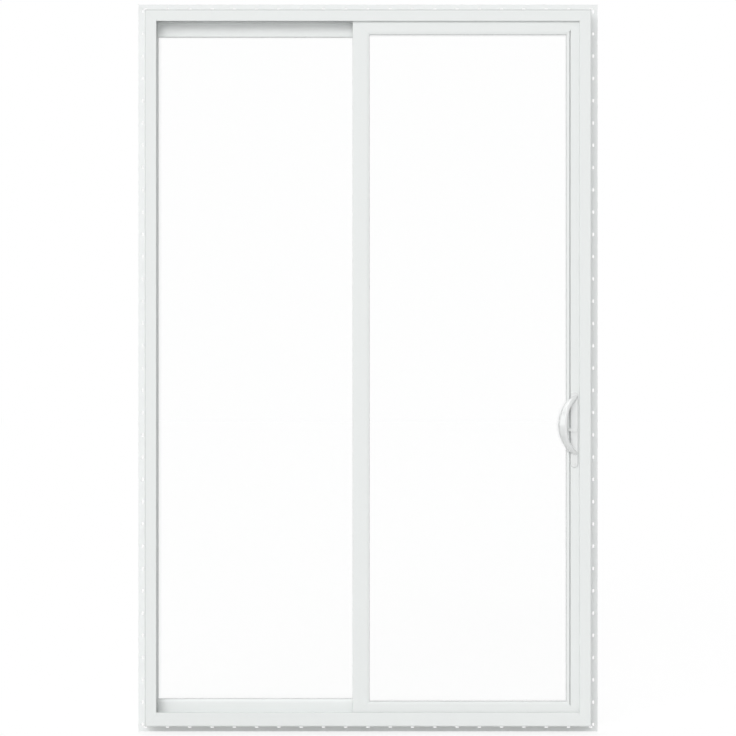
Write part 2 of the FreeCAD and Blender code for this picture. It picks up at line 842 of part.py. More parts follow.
def make_handles():
    back = sliding_front + size.panel_depth
    handle_plate("handle_plate", sliding_front, True)
    handle_grip("handle_grip", sliding_front, True)
    handle_plate("outer_pull_plate", back, False)
    handle_grip("outer_pull_grip", back, False)
    thumb_latch("thumb_latch")


def check_model():
    """Stop if any object failed or any sub-part is empty or broken."""
    doc.recompute()
    for item in doc.Objects:
        if "Invalid" in item.State or "Error" in item.State:
            raise RuntimeError(f"{item.Label} failed: {item.State}")
    for item in sub_parts:
        if item.Shape.isNull() or not item.Shape.isValid():
            raise RuntimeError(f"{item.Label} has no valid shape")


def write_parts():
    os.makedirs("parts", exist_ok=True)
    for item in sub_parts:
        item.Shape.exportStep(f"parts/{item.Label}.step")


make_frame()
make_fixed_panel()
make_sliding_panel()
make_interlock()
make_handles()
check_model()
write_parts()
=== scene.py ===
"""Finishes, seals, screws and a studio for a two-panel sliding patio door.

Everything is in metres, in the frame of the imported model: X to the right as seen from the room,
Y outwards through the door, Z up, with the origin at the middle of the sill's underside.
"""
import math
from typing import NamedTuple

import bmesh
import bpy
from bpy.props import FloatProperty, FloatVectorProperty, PointerProperty
from mathutils import Matrix, Vector


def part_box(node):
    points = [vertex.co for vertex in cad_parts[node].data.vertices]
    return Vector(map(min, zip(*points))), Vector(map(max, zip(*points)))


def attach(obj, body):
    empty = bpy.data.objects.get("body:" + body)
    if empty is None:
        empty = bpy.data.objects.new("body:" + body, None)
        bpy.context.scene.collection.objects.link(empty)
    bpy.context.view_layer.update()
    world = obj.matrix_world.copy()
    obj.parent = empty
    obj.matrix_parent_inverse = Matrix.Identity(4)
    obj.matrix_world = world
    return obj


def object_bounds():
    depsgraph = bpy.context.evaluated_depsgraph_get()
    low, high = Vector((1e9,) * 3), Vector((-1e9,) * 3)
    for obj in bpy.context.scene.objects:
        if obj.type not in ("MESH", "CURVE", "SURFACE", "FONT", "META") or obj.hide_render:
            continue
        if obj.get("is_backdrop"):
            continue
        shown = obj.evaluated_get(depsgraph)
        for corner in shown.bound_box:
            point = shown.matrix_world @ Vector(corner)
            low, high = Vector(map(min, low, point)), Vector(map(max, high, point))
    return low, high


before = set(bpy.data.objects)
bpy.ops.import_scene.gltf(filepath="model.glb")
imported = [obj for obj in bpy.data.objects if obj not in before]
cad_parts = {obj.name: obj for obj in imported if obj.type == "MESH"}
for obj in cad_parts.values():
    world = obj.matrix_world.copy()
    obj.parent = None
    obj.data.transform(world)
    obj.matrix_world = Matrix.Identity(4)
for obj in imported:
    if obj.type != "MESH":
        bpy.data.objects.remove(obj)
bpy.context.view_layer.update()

bl_info = {
    "name": "Sliding patio door",
    "version": (1, 0, 0),
    "blender": (4, 5, 0),
    "location": "View3D > Sidebar > Patio door",
    "description": "Finishes, seals, screws and a studio for a two-panel sliding patio door",
    "category": "Object",
}

FAR_AWAY = 10.0
TOUCHING = 1e-6
NOISE_MIDDLE = 0.5
WHITE = (1.0, 1.0, 1.0, 1.0)
QUARTER_TURN = math.radians(90)

# How the frame's members, the panels' members and the fins run
ALONG_X = (1.0, 0.0, 0.0)
ALONG_Z = (0.0, 0.0, 1.0)
FRAME_MEMBERS = {
    "frame_head": ALONG_X,
    "frame_sill": ALONG_X,
    "frame_jamb_left": ALONG_Z,
    "frame_jamb_right": ALONG_Z,
}
SLIDING_MEMBERS = {
    "sliding_top_rail": ALONG_X,
    "sliding_bottom_rail": ALONG_X,
    "sliding_meeting_stile": ALONG_Z,
    "sliding_lock_stile": ALONG_Z,
    "sliding_interlock": ALONG_Z,
}
SLIDING_BEADS = {
    "sliding_bead_top": ALONG_X,
    "sliding_bead_bottom": ALONG_X,
    "sliding_bead_meeting": ALONG_Z,
    "sliding_bead_lock": ALONG_Z,
}
FIXED_MEMBERS = {
    "fixed_top_rail": ALONG_X,
    "fixed_bottom_rail": ALONG_X,
    "fixed_meeting_stile": ALONG_Z,
    "fixed_jamb_stile": ALONG_Z,
    "fixed_interlock": ALONG_Z,
}
FIXED_BEADS = {
    "fixed_bead_top": ALONG_X,
    "fixed_bead_bottom": ALONG_X,
    "fixed_bead_meeting": ALONG_Z,
}
NAIL_FINS = {
    "nail_fin_top": ALONG_X,
    "nail_fin_bottom": ALONG_X,
    "nail_fin_left": ALONG_Z,
    "nail_fin_right": ALONG_Z,
}
PANES = ("fixed_pane_inner", "fixed_pane_outer", "sliding_pane_inner", "sliding_pane_outer")
SPACERS = ("fixed_spacer", "sliding_spacer")
TRACKS = ("roller_track", "head_guide")
STEEL_PARTS = ("roller_housings", "lock_faceplate", "strike_keeper")
HANDLE_PARTS = ("handle_plate", "handle_grip", "outer_pull_plate", "outer_pull_grip", "thumb_latch")


class Wire:
    """A node's output that takes part in Python expressions, each of which adds a Math node."""

    def __init__(self, finish, socket):
        self.finish = finish
        self.socket = socket

    def math(self, operation, *values):
        return self.finish.node("ShaderNodeMath", {"operation": operation}, dict(enumerate(values)))

    def __add__(self, other):
        return self.math("ADD", self, other)

    def __radd__(self, other):
        return self.math("ADD", other, self)

    def __sub__(self, other):
        return self.math("SUBTRACT", self, other)

    def __rsub__(self, other):
        return self.math("SUBTRACT", other, self)

    def __mul__(self, other):
        return self.math("MULTIPLY", self, other)

    def __rmul__(self, other):
        return self.math("MULTIPLY", other, self)

    def __pow__(self, other):
        return self.math("POWER", self, other)

    def __abs__(self):
        return self.math("ABSOLUTE", self)

    def lower_of(self, other):
        return self.math("MINIMUM", self, other)

    def higher_of(self, other):
        return self.math("MAXIMUM", self, other)

    def wrapped(self, pitch):
        """Return the offset from the middle of a cell that repeats at a pitch."""
        return self.math("WRAP", self, pitch / 2, -pitch / 2)


class Layer(NamedTuple):
    """A layer of noise, with its cells for each metre, and how far it changes a finish."""

    cells: tuple
    detail: float
    shade: float = 0.0
    roughness: float = 0.0
    height: float = 0.0


class Finish:
    """The nodes of a material, or of the world."""

    def __init__(self, tree):
        self.tree = tree
        tree.nodes.clear()

    def node(self, kind, settings=None, sockets=None, output=0):
        """Add a node, first its settings and then its sockets, and return one output or several."""
        made = self.tree.nodes.new(kind)
        for name, value in (settings or {}).items():
            setattr(made, name, value)
        for name, value in (sockets or {}).items():
            if isinstance(value, Wire):
                self.tree.links.new(value.socket, made.inputs[name])
            else:
                made.inputs[name].default_value = value
        if isinstance(output, tuple):
            return [Wire(self, made.outputs[name]) for name in output]
        return Wire(self, made.outputs[output]) if len(made.outputs) else None

    def place(self):
        """Return the surface point in the object's own coordinates."""
        return self.node("ShaderNodeTexCoord", output="Object")

    def axes(self):
        return self.node("ShaderNodeSeparateXYZ", None, {"Vector": self.place()}, ("X", "Y", "Z"))

    def grain(self, cells, detail):
        """Return noise about zero with a number of cells for each metre, given for each axis."""
        where = self.node("ShaderNodeMapping", None, {"Vector": self.place(), "Scale": cells})
        noise = self.node("ShaderNodeTexNoise", None,
                          {"Vector": where, "Scale": 1.0, "Detail": detail})
        return noise - NOISE_MIDDLE

    def layered(self, layers, roughness):
        """Return the shade, the roughness and the height that layers of noise add up to."""
        shade = 1.0
        heights = []
        for layer in layers:
            noise = self.grain(layer.cells, layer.detail)
            if layer.shade:
                shade = shade + noise * layer.shade
            if layer.roughness:
                roughness = roughness + noise * layer.roughness
            if layer.height:
                heights.append(noise * layer.height)
        return shade, roughness, sum(heights[1:], heights[0])

    def band(self, distance, width):
        """Return 1 where a distance is nought, falling to 0 at half the width."""
        return self.node("ShaderNodeMapRange", {"interpolation_type": "SMOOTHSTEP"},
                         {"Value": distance, "From Min": width / 2, "From Max": width / 4})

    def shaded(self, colour, factor):
        """Return a colour made lighter or darker by a factor."""
        return self.node("ShaderNodeVectorMath", {"operation": "SCALE"},
                         {0: tuple(colour), "Scale": factor}, "Vector")

    def bump(self, height, distance):
        return self.node("ShaderNodeBump", None, {"Height": height, "Distance": distance})

    def blend(self, factor, first, second):
        """Return a mix of two shaders."""
        return self.node("ShaderNodeMixShader", None, {0: factor, 1: first, 2: second})

    def principled(self, **sockets):
        named = {name.replace("_", " "): value for name, value in sockets.items()}
        return self.node("ShaderNodeBsdfPrincipled", None, named)

    def surface(self, shader):
        self.node("ShaderNodeOutputMaterial", None, {"Surface": shader})


def opaque(colour):
    return (*colour, 1.0)


def new_finish(name):
    """Start a material and return it with its nodes."""
    material = bpy.data.materials.new(name)
    material.use_nodes = True
    return material, Finish(material.node_tree)


def layered_finish(name, colour, layers, roughness, bump, **sockets):
    """Return a material whose shade, roughness and bump come from layers of noise."""
    material, finish = new_finish(name)
    shade, roughness, height = finish.layered(layers, roughness)
    finish.surface(finish.principled(
        Base_Color=finish.shaded(colour, shade), Roughness=roughness,
        Normal=finish.bump(height, bump), **sockets))
    return material


def dress(material, *nodes):
    """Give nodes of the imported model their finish."""
    for node in nodes:
        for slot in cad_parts[node].material_slots:
            slot.material = material


class VinylLook(bpy.types.PropertyGroup):
    """The extruded white vinyl of the frame, the panels and the fins."""

    colour: FloatVectorProperty(
        name="Colour", description="Colour of the frame and the panels", subtype="COLOR",
        default=(0.797, 0.819, 0.811), min=0.0, max=1.0)
    # Painted light: the fixed panel's vinyl is lighter than the same vinyl of the frame and the
    # sliding panel, standing in for light in its recess
    painted_light_fixed_colour: FloatVectorProperty(
        name="Inner colour", description="Colour of the fixed panel, set back in the frame",
        subtype="COLOR", default=(0.888, 0.911, 0.903), min=0.0, max=1.0)
    # Painted light: the fins' vinyl is a little lighter than the frame's, standing in for the light
    # on the fins
    painted_light_fin_colour: FloatVectorProperty(
        name="Fin colour", description="Colour of the nail fins", subtype="COLOR",
        default=(0.828, 0.845, 0.840), min=0.0, max=1.0)
    roughness: FloatProperty(
        name="Roughness", description="Roughness of the satin face", subtype="FACTOR",
        default=0.36, min=0.0, max=1.0)
    die_lines: FloatProperty(
        name="Die lines", description="How far the lines along an extrusion change its shade",
        subtype="FACTOR", default=0.035, min=0.0, max=1.0)
    clouding: FloatProperty(
        name="Clouding", description="How far the shade drifts over a face", subtype="FACTOR",
        default=0.02, min=0.0, max=1.0)
    weld_width: FloatProperty(
        name="Weld width", description="Width of the groove along a welded mitre", unit="LENGTH",
        default=0.0010, min=0.0)
    weld_shade: FloatProperty(
        name="Weld shade", description="How much darker the groove of a weld is", subtype="FACTOR",
        default=0.08, min=0.0, max=1.0)
    # Painted shade along the outer edge of the head and the left jamb, near the front face
    painted_edge_shade_width: FloatProperty(
        name="Rim width", description="Width of the dull rim along the head and the left jamb",
        unit="LENGTH", default=0.006, min=0.0)
    painted_edge_shade: FloatProperty(
        name="Rim shade", description="How much darker the rim is than the face", subtype="FACTOR",
        default=0.18, min=0.0, max=1.0)
    # Painted shade on the beads: darker on the return by the glass, and in the open joint behind a
    # bead
    painted_return_depth: FloatProperty(
        name="Gasket depth", description="Depth of a bead's soft grey edge against the glass",
        unit="LENGTH", default=0.0065, min=0.0)
    painted_return_shade: FloatProperty(
        name="Gasket shade", description="How much darker the soft edge is than the bead",
        subtype="FACTOR", default=0.80, min=0.0, max=1.0)
    painted_joint_shade: FloatProperty(
        name="Joint shade", description="How much darker the open joint behind a bead is",
        subtype="FACTOR", default=0.22, min=0.0, max=1.0)


class GlassLook(bpy.types.PropertyGroup):
    """The four panes and the spacers between them."""

    tint: FloatVectorProperty(
        name="Tint", description="What one face of a pane lets through", subtype="COLOR",
        default=(0.9974, 0.9981, 0.9978), min=0.0, max=1.0)
    reflectance: FloatProperty(
        name="Reflectance", description="Share of the light that a face returns head on",
        subtype="FACTOR", default=0.042, min=0.0, max=1.0)
    smear: FloatProperty(
        name="Smear", description="Most roughness where the glass is less than clean",
        subtype="FACTOR", default=0.05, min=0.0, max=1.0)
    spacer_colour: FloatVectorProperty(
        name="Spacer colour", description="Colour of the spacer's aluminium", subtype="COLOR",
        default=(0.62, 0.63, 0.64), min=0.0, max=1.0)
    hole_pitch: FloatProperty(
        name="Hole pitch", description="Distance between the spacer's breathing holes",
        unit="LENGTH", default=0.004, min=0.0005)
    hole_diameter: FloatProperty(
        name="Hole diameter", description="Diameter of a breathing hole", unit="LENGTH",
        default=0.0011, min=0.0001)


class MetalLook(bpy.types.PropertyGroup):
    """The track, the guide, the rollers and the lock's plates."""

    track_colour: FloatVectorProperty(
        name="Track colour", description="Colour of the track and the guide", subtype="COLOR",
        default=(0.70, 0.71, 0.72), min=0.0, max=1.0)
    steel_colour: FloatVectorProperty(
        name="Steel colour", description="Colour of the plated steel", subtype="COLOR",
        default=(0.66, 0.66, 0.65), min=0.0, max=1.0)
    wheel_colour: FloatVectorProperty(
        name="Wheel colour", description="Colour of the rollers' nylon", subtype="COLOR",
        default=(0.72, 0.70, 0.65), min=0.0, max=1.0)
    roughness: FloatProperty(
        name="Roughness", description="Roughness of the brushed metal", subtype="FACTOR",
        default=0.38, min=0.0, max=1.0)


class HandleLook(bpy.types.PropertyGroup):
    """The painted handles and their screws."""

    colour: FloatVectorProperty(
        name="Colour", description="Colour of the painted handles", subtype="COLOR",
        default=(0.765, 0.780, 0.775), min=0.0, max=1.0)
    roughness: FloatProperty(
        name="Roughness", description="Roughness of the paint", subtype="FACTOR",
        default=0.26, min=0.0, max=1.0)
    gloss: FloatProperty(
        name="Gloss", description="Refractive index of the clear top coat", default=1.75, min=1.0,
        max=3.0)
    screw_diameter: FloatProperty(
        name="Screw diameter", description="Diameter of a screw's head", unit="LENGTH",
        default=0.0085, min=0.001)
    screw_height: FloatProperty(
        name="Screw height", description="Height of a screw's head", unit="LENGTH",
        default=0.0016, min=0.0001)
    screw_inset: FloatProperty(
        name="Screw inset", description="Distance of a screw from the end of its plate",
        unit="LENGTH", default=0.0135, min=0.001)


class SealLook(bpy.types.PropertyGroup):
    """The pile strips beside the sliding panel and the lips of the glazing beads."""

    pile_colour: FloatVectorProperty(
        name="Pile colour", description="Colour of the pile strips", subtype="COLOR",
        default=(0.84, 0.85, 0.85), min=0.0, max=1.0)
    pile_width: FloatProperty(
        name="Pile width", description="Width of a pile strip", unit="LENGTH", default=0.005,
        min=0.001)
    pile_depth: FloatProperty(
        name="Pile depth", description="How far the pile stands off its leg", unit="LENGTH",
        default=0.004, min=0.0005)
    lip_colour: FloatVectorProperty(
        name="Lip colour", description="Colour of the soft lips against the glass", subtype="COLOR",
        default=(0.64, 0.655, 0.65), min=0.0, max=1.0)
    lip_width: FloatProperty(
        name="Lip width", description="Width of a lip on the glass", unit="LENGTH", default=0.0010,
        min=0.0002)
    lip_depth: FloatProperty(
        name="Lip depth", description="How far a lip stands off the glass", unit="LENGTH",
        default=0.0010, min=0.0002)


class StageLook(bpy.types.PropertyGroup):
    """The floor, the light and the camera."""

    camera_distance: FloatProperty(
        name="Camera distance",
        description="Distance of the camera from the room side of the frame",
        unit="LENGTH", default=6.8, min=0.5)
    camera_height: FloatProperty(
        name="Camera height", description="Height of the camera above the sill's underside",
        unit="LENGTH", default=1.213)
    lens: FloatProperty(
        name="Lens", description="Focal length of the camera", unit="CAMERA", default=98.4, min=1.0)
    sensor_width: FloatProperty(
        name="Sensor width", description="Width of the camera's sensor", unit="CAMERA",
        default=36.0, min=1.0)
    ambient: FloatProperty(
        name="Ambient", description="Strength of the light from all round", default=0.49, min=0.0)
    key: FloatProperty(
        name="Key light", description="Strength of the key light", default=1.56, min=0.0)
    key_aside: FloatProperty(
        name="Key aside", description="How far the key light stands to the left of the camera",
        subtype="ANGLE", default=math.radians(13))
    key_above: FloatProperty(
        name="Key above", description="How far the key light stands above the horizon",
        subtype="ANGLE", default=math.radians(20))
    key_softness: FloatProperty(
        name="Key softness", description="Apparent width of the key light", subtype="ANGLE",
        default=math.radians(40), min=0.0)
    back: FloatProperty(
        name="Back light", description="Strength of the light from behind the door", default=1.25,
        min=0.0)
    glint: FloatProperty(
        name="Glint", description="Strength of the light that shows only in gloss", default=2.1,
        min=0.0)
    glint_aside: FloatProperty(
        name="Glint aside", description="How far the glint stands to the left of the camera",
        subtype="ANGLE", default=math.radians(105))
    glint_above: FloatProperty(
        name="Glint above", description="How far the glint stands above the horizon",
        subtype="ANGLE", default=math.radians(34))
    glint_softness: FloatProperty(
        name="Glint softness", description="Apparent width of the glint", subtype="ANGLE",
        default=math.radians(85), min=0.0)
    floor_colour: FloatVectorProperty(
        name="Floor colour", description="Colour of the floor", subtype="COLOR",
        default=(0.80, 0.80, 0.80), min=0.0, max=1.0)
    floor_white: FloatProperty(
        name="Floor white", description="Share of plain white in what is seen of the floor",
        subtype="FACTOR", default=0.68, min=0.01, max=1.0)


class DoorLook(bpy.types.PropertyGroup):
    """All that a user would change."""

    vinyl: PointerProperty(type=VinylLook)
    glass: PointerProperty(type=GlassLook)
    metal: PointerProperty(type=MetalLook)
    handle: PointerProperty(type=HandleLook)
    seal: PointerProperty(type=SealLook)
    stage: PointerProperty(type=StageLook)


def outline_of(*nodes):
    """Return left, right, bottom and top of some nodes together."""
    boxes = [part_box(node) for node in nodes]
    return (min(low.x for low, _ in boxes), max(high.x for _, high in boxes),
            min(low.z for low, _ in boxes), max(high.z for _, high in boxes))


def vinyl_finish(name, look, colour, along, ring, front=None, panel=None):
    """Satin extruded vinyl with die lines along it and a fine groove where mitres are welded.

    Given its front, the frame gets painted shade along the outer edge of its head and left jamb.
    Given its panel, a bead gets painted shade by the glass and in the open joint behind it.
    """
    weld_roughness = 0.15
    vinyl_ior = 1.53
    bump = 0.00008
    lengthwise, crosswise = 3.0, 1400.0
    die_lines = Layer(cells=tuple(lengthwise if share else crosswise for share in along),
                      detail=3.0, shade=look.die_lines, roughness=0.10, height=0.5)
    cloud = Layer(cells=(2.5, 2.5, 2.5), detail=2.0, shade=look.clouding, roughness=0.08)
    peel = Layer(cells=(420.0, 420.0, 420.0), detail=1.0, height=0.5)

    material, finish = new_finish(name)
    shade, roughness, height = finish.layered((die_lines, cloud, peel), look.roughness)
    left, right, bottom, top = ring
    x, y, z = finish.axes()
    side = (x - left).lower_of(right - x)
    end = (z - bottom).lower_of(top - z)
    weld = finish.band(abs(side - end), look.weld_width)
    shade = shade - weld * look.weld_shade
    # Painted shade: a darker band along the outer edge of the head and the left jamb, near the
    # front face
    if front is not None:
        reach = look.painted_edge_shade_width * 2
        rim = finish.band((x - left).lower_of(top - z), reach) * finish.band(y - front, reach)
        shade = shade - rim * look.painted_edge_shade
    # Painted shade: the part of a bead deeper than its face is darkened, most on its return by the
    # glass and less on the floor of the joint behind it, standing in for the shade in these
    # recesses
    if panel is not None:
        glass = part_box(f"{panel}_pane_inner")[0].y
        bead_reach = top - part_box(f"{panel}_bead_top")[0].z
        deep = finish.band(glass - y, look.painted_return_depth * 2)
        by_glass = finish.band(abs(side.lower_of(end) - bead_reach), look.painted_return_depth)
        darker = look.painted_joint_shade + (look.painted_return_shade - look.painted_joint_shade) * by_glass
        shade = shade - deep * darker
    finish.surface(finish.principled(
        Base_Color=finish.shaded(colour, shade), Roughness=roughness + weld * weld_roughness,
        IOR=vinyl_ior, Normal=finish.bump(height - weld, bump)))
    return material


class PATIO_OT_vinyl(bpy.types.Operator):
    """Give the frame, the panels and the fins their white vinyl"""

    bl_idname = "patio.vinyl"
    bl_label = "Vinyl"

    def execute(self, context):
        look = context.scene.patio_door.vinyl
        frame_ring = outline_of(*FRAME_MEMBERS)
        sliding_ring = outline_of("sliding_meeting_stile", "sliding_lock_stile")
        fixed_ring = (-FAR_AWAY, *outline_of("fixed_meeting_stile")[1:])
        frame_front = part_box("frame_head")[0].y
        groups = (
            ("frame_vinyl", look.colour, FRAME_MEMBERS, frame_ring, frame_front, None),
            ("sliding_vinyl", look.colour, SLIDING_MEMBERS, sliding_ring, None, None),
            ("sliding_bead", look.colour, SLIDING_BEADS, sliding_ring, None, "sliding"),
            # The fixed panel's members and beads take the lighter colour that paints light into its
            # recess
            ("fixed_vinyl", look.painted_light_fixed_colour, FIXED_MEMBERS, fixed_ring, None, None),
            ("fixed_bead", look.painted_light_fixed_colour, FIXED_BEADS, fixed_ring, None, "fixed"),
            # The fins take the lighter colour that paints light onto them
            ("fin_vinyl", look.painted_light_fin_colour, NAIL_FINS, frame_ring, None, None),
        )
        for group, colour, members, ring, front, panel in groups:
            for way, along in (("level", ALONG_X), ("upright", ALONG_Z)):
                vinyl = vinyl_finish(f"{group}_{way}", look, colour, along, ring, front, panel)
                dress(vinyl, *(node for node, run in members.items() if run == along))
        return {"FINISHED"}


def glass_finish(name, look):
    """Clear float glass: a faint tint, more reflection at a slant, and a trace of smear."""
    fresnel_power = 5.0
    material, finish = new_finish(name)
    slant = finish.node("ShaderNodeLayerWeight", None, {"Blend": 0.5}, "Facing")
    reflected = look.reflectance + (1.0 - look.reflectance) * slant ** fresnel_power
    smear = finish.grain(cells=(3.0, 3.0, 1.2), detail=4.0) + NOISE_MIDDLE
    clear = finish.node("ShaderNodeBsdfTransparent", None, {"Color": opaque(look.tint)})
    gloss = finish.node("ShaderNodeBsdfAnisotropic", None,
                        {"Color": WHITE, "Roughness": smear * look.smear})
    finish.surface(finish.blend(reflected, clear, gloss))
    return material


def spacer_finish(name, look):
    """Bright rolled aluminium with a row of breathing holes along its middle."""
    rolled_roughness = 0.34
    hole_shade, hole_roughness, hole_depth = 0.9, 0.4, 4.0
    bump = 0.0001
    lines = Layer(cells=(60.0, 900.0, 60.0), detail=2.0, shade=0.12, roughness=0.15, height=1.0)

    material, finish = new_finish(name)
    shade, roughness, height = finish.layered((lines,), rolled_roughness)
    x, y, z = finish.axes()
    fixed_middle, sliding_middle = (
        sum(corner.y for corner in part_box(node)) / 2 for node in SPACERS)
    across = abs(y - fixed_middle).lower_of(abs(y - sliding_middle))
    along = (x + z).wrapped(look.hole_pitch)
    hole = finish.band((across * across + along * along) ** 0.5, look.hole_diameter)
    finish.surface(finish.principled(
        Base_Color=finish.shaded(look.spacer_colour, shade * (1.0 - hole * hole_shade)),
        Metallic=1.0 - hole, Roughness=roughness + hole * hole_roughness,
        Normal=finish.bump(height - hole * hole_depth, bump)))
    return material


class PATIO_OT_glass(bpy.types.Operator):
    """Give the panes their clear glass and the spacers their aluminium"""

    bl_idname = "patio.glass"
    bl_label = "Glass"

    def execute(self, context):
        look = context.scene.patio_door.glass
        dress(glass_finish("clear_glass", look), *PANES)
        dress(spacer_finish("spacer_aluminium", look), *SPACERS)
        return {"FINISHED"}


def track_finish(name, look):
    """Drawn aluminium with fine lines along it and dull patches."""
    lines = Layer(cells=(4.0, 1600.0, 1600.0), detail=4.0, shade=0.22, roughness=0.18, height=1.0)
    dull = Layer(cells=(12.0, 12.0, 12.0), detail=3.0, shade=0.10, roughness=0.12)
    return layered_finish(name, look.track_colour, (lines, dull), look.roughness, bump=0.00006,
                          Metallic=1.0)


def steel_finish(name, look):
    """Zinc-plated sheet steel with a soft mottle and upright rolling lines."""
    mottle = Layer(cells=(140.0, 140.0, 140.0), detail=4.0, shade=0.16, roughness=0.14, height=0.4)
    lines = Layer(cells=(1500.0, 1500.0, 8.0), detail=2.0, shade=0.10, roughness=0.08, height=0.6)
    return layered_finish(name, look.steel_colour, (mottle, lines), look.roughness, bump=0.00006,
                          Metallic=1.0)


def wheel_finish(name, look):
    """Moulded nylon with a slight bloom."""
    bloom = Layer(cells=(180.0, 180.0, 180.0), detail=3.0, shade=0.10, roughness=0.16, height=1.0)
    return layered_finish(name, look.wheel_colour, (bloom,), roughness=0.52, bump=0.00008)


class PATIO_OT_metal(bpy.types.Operator):
    """Give the track, the guide, the rollers and the lock's plates their finishes"""

    bl_idname = "patio.metal"
    bl_label = "Track, rollers and lock"

    def execute(self, context):
        look = context.scene.patio_door.metal
        dress(track_finish("track_aluminium", look), *TRACKS)
        dress(steel_finish("plated_steel", look), *STEEL_PARTS)
        dress(wheel_finish("wheel_nylon", look), "roller_wheels")
        return {"FINISHED"}


def paint_finish(name, look):
    """Gloss paint over a casting: a faint orange peel under a clear top coat."""
    peel = Layer(cells=(520.0, 520.0, 520.0), detail=1.5, height=0.8)
    flow = Layer(cells=(45.0, 45.0, 45.0), detail=2.0, shade=0.015, roughness=0.04, height=0.2)
    return layered_finish(name, look.colour, (peel, flow), look.roughness, bump=0.00004,
                          Coat_Weight=1.0, Coat_Roughness=0.12, Coat_IOR=look.gloss)


class PATIO_OT_handles(bpy.types.Operator):
    """Give the handles and the latch their gloss white paint"""

    bl_idname = "patio.handles"
    bl_label = "Handles"

    def execute(self, context):
        dress(paint_finish("white_handle", context.scene.patio_door.handle), *HANDLE_PARTS)
        return {"FINISHED"}


def add_object(name, shape, material):
    """Turn a bmesh into an object with one finish."""
    mesh = bpy.data.meshes.new(name)
    shape.to_mesh(mesh)
    shape.free()
    mesh.materials.append(material)
    made = bpy.data.objects.new(name, mesh)
    bpy.context.scene.collection.objects.link(made)
    return made


def add_piece(name, shape, material, body, slot):
    """Add a piece of the door that moves with one of its bodies."""
    piece = add_object(name, shape, material)
    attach(piece, body)


def screw_head(shape, at, turn, diameter, height):
    """Add a low domed head with a crossed recess, turned from +Z to the way that it faces."""
    sides = 12
    recess = diameter * 0.28
    dome = height * 0.45
    sinking = height * 0.4
    taper = 0.8
    grid = bmesh.ops.create_grid(shape, x_segments=3, y_segments=3, size=recess)["verts"]
    faces = {face for vert in grid for face in vert.link_faces}
    inner = [edge for face in faces for edge in face.edges if edge.is_boundary]
    rim = bmesh.ops.create_circle(shape, segments=sides, radius=diameter / 2)["verts"]
    bmesh.ops.rotate(shape, verts=rim, matrix=Matrix.Rotation(math.pi / sides, 3, "Z"))
    bmesh.ops.translate(shape, verts=rim, vec=(0, 0, -dome))
    outer = list({edge for vert in rim for edge in vert.link_edges})
    bmesh.ops.bridge_loops(shape, edges=inner + outer)
    skirt = bmesh.ops.extrude_edge_only(shape, edges=outer)["geom"]
    foot = [item for item in skirt if isinstance(item, bmesh.types.BMVert)]
    bmesh.ops.translate(shape, verts=foot, vec=(0, 0, dome - height))
    heel = [item for item in skirt if isinstance(item, bmesh.types.BMEdge) and item.is_boundary]
    bmesh.ops.edgeloop_fill(shape, edges=heel)
    centres = {face: face.calc_center_median() for face in faces}
    cross = [face for face, centre in centres.items()
             if min(abs(centre.x), abs(centre.y)) < TOUCHING]
    sunk = bmesh.ops.extrude_face_region(shape, geom=cross)["geom"]
    floor = [item for item in sunk if isinstance(item, bmesh.types.BMVert)]
    bmesh.ops.translate(shape, verts=floor, vec=(0, 0, -sinking))
    bmesh.ops.scale(shape, verts=floor, vec=(taper, taper, 1.0))
    made = grid + rim + foot + floor
    bmesh.ops.translate(shape, verts=made, vec=(0, 0, height))
    bmesh.ops.rotate(shape, verts=made, matrix=turn)
    bmesh.ops.translate(shape, verts=made, vec=at)


def screw_spots(plate, face, inset):
    """Return the two places on a plate's face where its screws go."""
    low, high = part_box(plate)
    middle = (low + high) / 2
    axis = "xyz".index(face[1])
    for height in (low.z + inset, high.z - inset):
        spot = Vector((middle.x, middle.y, height))
        spot[axis] = (low if face[0] == "-" else high)[axis]
        yield spot


class PATIO_OT_screws(bpy.types.Operator):
    """Add the screws of the inner handle plate, the lock's faceplate and the keeper"""

    bl_idname = "patio.screws"
    bl_label = "Screws"

    def execute(self, context):
        look = context.scene.patio_door.handle
        to_room = Matrix.Rotation(QUARTER_TURN, 3, "X")
        to_left = Matrix.Rotation(-QUARTER_TURN, 3, "Y")
        to_right = Matrix.Rotation(QUARTER_TURN, 3, "Y")
        rows = (
            ("handle_screws", "handle_plate", to_room, "-y", "sliding_panel", "white_handle"),
            ("faceplate_screws", "lock_faceplate", to_right, "+x", "sliding_panel", "plated_steel"),
            ("keeper_screws", "strike_keeper", to_left, "-x", "frame", "plated_steel"),
        )
        for name, plate, turn, face, body, slot in rows:
            shape = bmesh.new()
            for spot in screw_spots(plate, face, look.screw_inset):
                screw_head(shape, spot, turn, look.screw_diameter, look.screw_height)
            bmesh.ops.recalc_face_normals(shape, faces=shape.faces)
            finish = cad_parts[plate].material_slots[0].material
            add_piece(name, shape, finish, body, slot)
        return {"FINISHED"}


def bar(shape, low, high, crown, rounding):
    """Add a straight bar between two corners, rounded along the long edges at one of its depths."""
    verts = bmesh.ops.create_cube(shape, size=1.0)["verts"]
    low = Vector(low)
    high = Vector(high)
    bmesh.ops.scale(shape, verts=verts, vec=high - low)
    bmesh.ops.translate(shape, verts=verts, vec=(low + high) / 2)
    length = max(high - low)
    edges = {edge for vert in verts for edge in vert.link_edges}
    crest = [edge for edge in edges if all(abs(vert.co.y - crown) < TOUCHING for vert in edge.verts)
             and edge.calc_length() > length / 2]
    bmesh.ops.bevel(shape, geom=crest, offset=rounding, segments=3, profile=0.5, affect="EDGES",
                    material=-1)


def pile_finish(name, look):
    """Woven pile: fine upright fibres with darker gaps between the tufts."""
    tufts = Layer(cells=(1500.0, 200.0, 1500.0), detail=3.0, shade=0.4, height=1.0)
    rows = Layer(cells=(260.0, 260.0, 260.0), detail=2.0, shade=0.15)
    return layered_finish(name, look.pile_colour, (tufts, rows), roughness=0.9, bump=0.0006)


